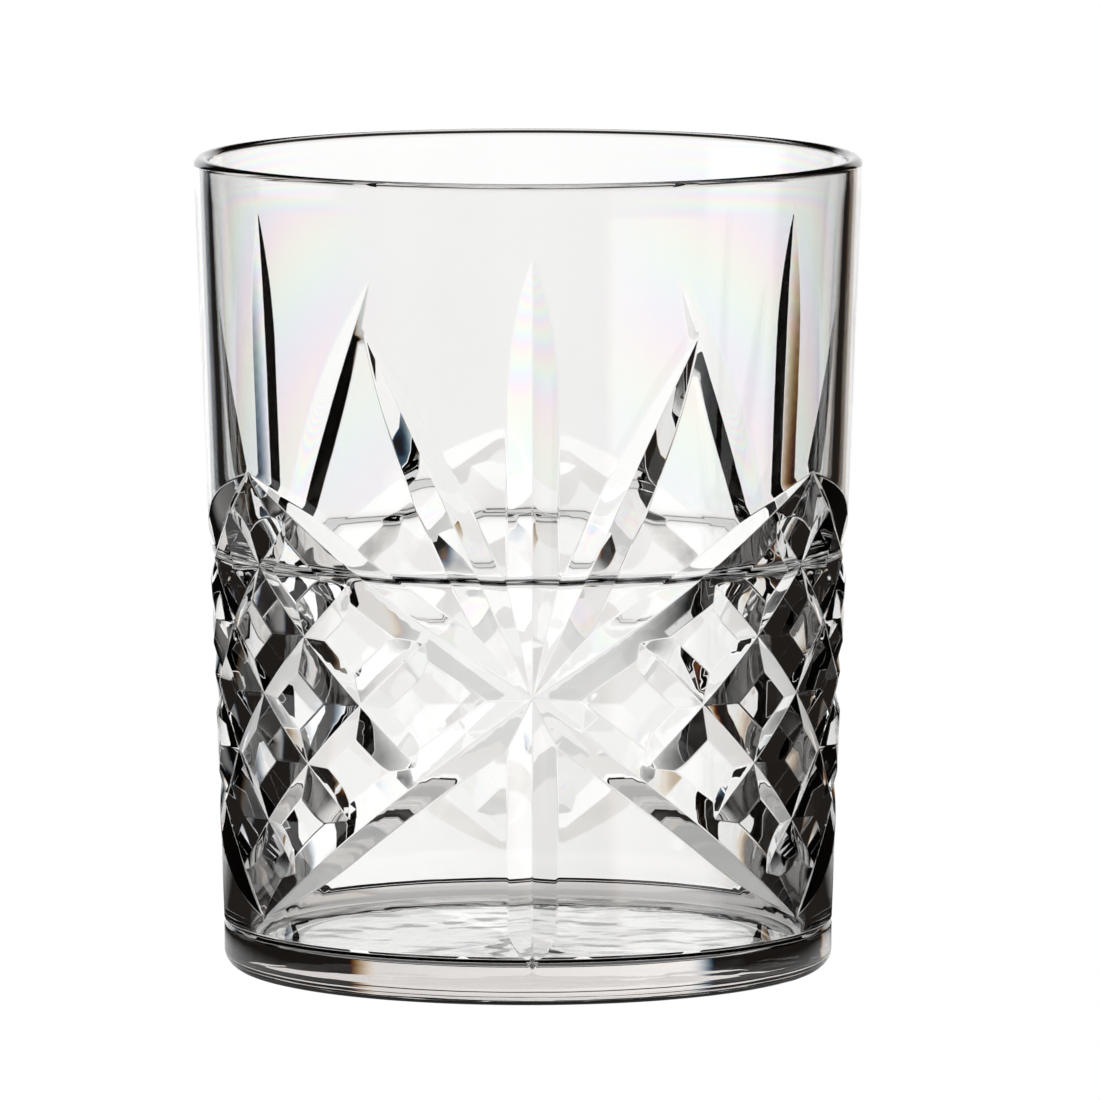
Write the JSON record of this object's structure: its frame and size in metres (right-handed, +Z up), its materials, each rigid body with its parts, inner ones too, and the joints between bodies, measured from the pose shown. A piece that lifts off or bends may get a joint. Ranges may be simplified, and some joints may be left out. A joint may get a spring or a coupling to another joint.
{
  "type": "whiskey tumbler",
  "caption": "Straight-sided clear whiskey tumbler with a plain rim, a star-and-hatch pattern cut in its wall, a small inner ledge and a plain foot band.",
  "frame": {"origin": "centre of the foot, on the surface that the tumbler stands on", "axes": "+Z up along the turning axis, towards the open rim; one star faces -Y"},
  "size_m": [0.082, 0.082, 0.1],
  "materials": {
    "clear_glass": "clear, fire-polished"
  },
  "bodies": {
    "root": {"tumbler_body": "clear_glass"}
  },
  "joints": []
}
